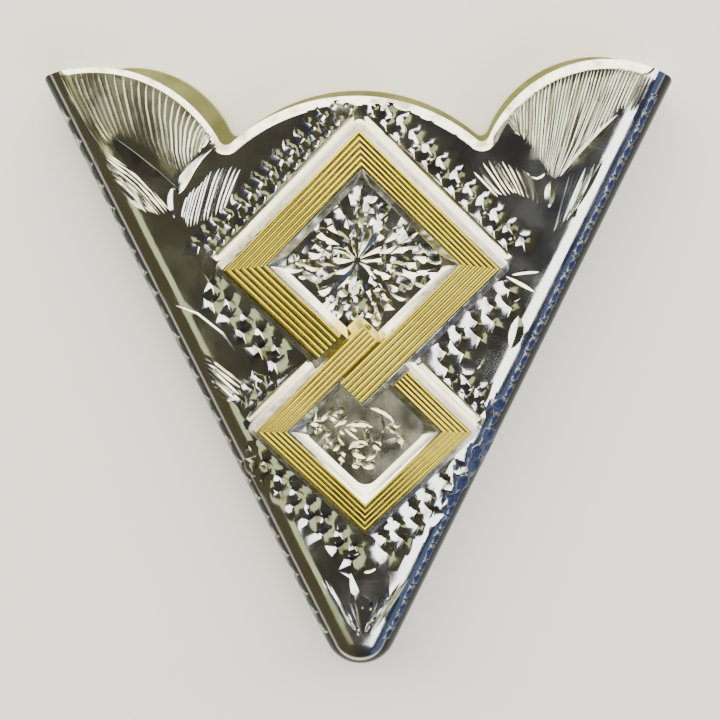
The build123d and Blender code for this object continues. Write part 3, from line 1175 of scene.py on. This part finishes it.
def ridged_gilt():
    # Gold on the ridges, brown between them, and bare silver on the slopes beside them
    metal = Metal("gilt", (0.60, 0.43, 0.10), 0.25)
    height = metal.node("ShaderNodeSeparateXYZ", Vector=metal.place).outputs["Z"]
    ridge = metal.span(height, (top_z - groove * 0.9) * mm, (top_z - groove * 0.25) * mm)
    worn = metal.blend(metal.noise(1.2), (0.60, 0.51, 0.09), (0.46, 0.38, 0.055))
    gold_part = metal.blend(ridge, (0.30, 0.22, 0.035), worn)
    above = metal.span(height, (top_z - groove * 1.7) * mm, (top_z - groove * 1.2) * mm)
    apart = metal.node("ShaderNodeVectorMath", Vector=metal.place)
    apart.operation = "DISTANCE"
    apart.inputs[1].default_value = [c * mm for c in crossing]
    near = metal.span(apart.outputs["Value"], 1.9 * mm, 2.6 * mm, 1.0, 0.0)
    beside = metal.blend(near, (0.80, 0.78, 0.70), (0.62, 0.52, 0.16))
    metal.into("Base Color", metal.blend(above, beside, gold_part))
    metal.into("Roughness", metal.span(metal.noise(0.8), 0.3, 0.7, 0.18, 0.30))
    return metal.material


def plain_metal():
    # The plain back sheet
    metal = Metal("plain_back", (0.50, 0.50, 0.24), 0.35)
    metal.into("Base Color", metal.blend(metal.noise(3.0), (0.56, 0.56, 0.27), (0.42, 0.42, 0.19)))
    metal.into("Roughness", metal.span(metal.noise(1.5), 0.3, 0.7, 0.38, 0.50))
    metal.bump(metal.noise(0.3, 6.0, (0.2, 1.0, 1.0)), 0.005)
    return metal.material


silver = engraved_silver()
gold = ridged_gilt()
plain_back = plain_metal()

shell = new_object("engraved_shell", shell_mesh())
shell.data.materials.append(silver)
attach(shell, "root")
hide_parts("shell")

diamonds()
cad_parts["back_plate"].data.materials.clear()
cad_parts["back_plate"].data.materials.append(plain_back)


def floor():
    mesh = bpy.data.meshes.new("floor")
    half = 2.0
    corners = [(-half, -half, 0), (half, -half, 0), (half, half, 0), (-half, half, 0)]
    mesh.from_pydata(corners, [], [(0, 1, 2, 3)])
    ground = new_object("floor", mesh)
    material = bpy.data.materials.new("pale_floor")
    material.use_nodes = True
    shader = material.node_tree.nodes["Principled BSDF"]
    shader.inputs["Base Color"].default_value = (0.90, 0.90, 0.89, 1.0)
    shader.inputs["Roughness"].default_value = 0.8
    mesh.materials.append(material)


def panel(name, azimuth, elevation, width, height, brightness, colour):
    # A soft rectangular light that faces the object. Azimuth runs from +X towards +Y.
    distance = 0.6
    lamp = bpy.data.lights.new(name, "AREA")
    lamp.shape = "RECTANGLE"
    lamp.size = width
    lamp.size_y = height
    lamp.energy = brightness * math.pi * width * height
    lamp.color = colour
    holder = bpy.data.objects.new(name, lamp)
    turn, rise = math.radians(azimuth), math.radians(elevation)
    toward = Vector((math.cos(turn) * math.cos(rise), math.sin(turn) * math.cos(rise), math.sin(rise)))
    side = Vector((-math.sin(turn), math.cos(turn), 0.0))
    up = toward.cross(side)
    facing = Matrix((side, up, toward)).transposed().to_4x4()
    holder.matrix_world = Matrix.Translation(toward * distance) @ facing
    holder.visible_camera = False
    bpy.context.scene.collection.objects.link(holder)


floor()
panel("right_panel", -34, 57, 0.46, 0.34, 4.5, (0.95, 0.97, 1.0))
panel("left_panel", -160, 62, 0.55, 0.18, 0.9, (0.85, 0.95, 0.55))
panel("mouth_panel", 90, 34, 2.6, 0.78, 6.0, (1.0, 0.95, 0.74))
panel("blue_panel", -35, 15, 0.8, 0.26, 0.24, (0.30, 0.44, 1.0))


def surroundings():
    # Dim room, olive on the left and navy on the right, pale down at the horizon
    world = bpy.data.worlds.new("studio")
    bpy.context.scene.world = world
    world.use_nodes = True
    room = Nodes(world.node_tree)
    place = room.node("ShaderNodeTexCoord").outputs["Generated"]
    axes = room.node("ShaderNodeSeparateXYZ", Vector=place).outputs
    across = room.node("ShaderNodeMapRange", Value=axes["X"], From_Min=-0.35, From_Max=0.35).outputs[0]
    sides = room.node("ShaderNodeValToRGB", Fac=across)
    ramp = sides.color_ramp.elements
    ramp[0].color = (0.095, 0.086, 0.050, 1.0)
    ramp[1].color = (0.034, 0.041, 0.070, 1.0)
    ramp.new(0.5).color = (0.042, 0.040, 0.036, 1.0)
    above_horizon = room.span(axes["Z"], 0.03, 0.14)
    colour = room.blend(above_horizon, (0.80, 0.80, 0.77), sides.outputs[0])
    room.feed(room.tree.nodes["Background"].inputs["Color"], colour)


surroundings()


def camera():
    # Almost straight above, a little towards the mouth
    place = Vector((4.89, 24.56, 95.6)) * mm
    aim = Vector((0.228, 1.79, thickness)) * mm
    roll = math.radians(0.412)
    back = (place - aim).normalized()
    up = Vector((math.sin(roll), math.cos(roll), 0.0))
    right = up.cross(back).normalized()
    up = back.cross(right)
    lens = bpy.data.cameras.new("camera")
    lens.lens = 68.3
    lens.sensor_width = 36.0
    lens.clip_start = 0.001
    eye = bpy.data.objects.new("camera", lens)
    turn = Matrix((right, up, back)).transposed().to_4x4()
    eye.matrix_world = Matrix.Translation(place) @ turn
    bpy.context.scene.collection.objects.link(eye)
    bpy.context.scene.camera = eye


camera()
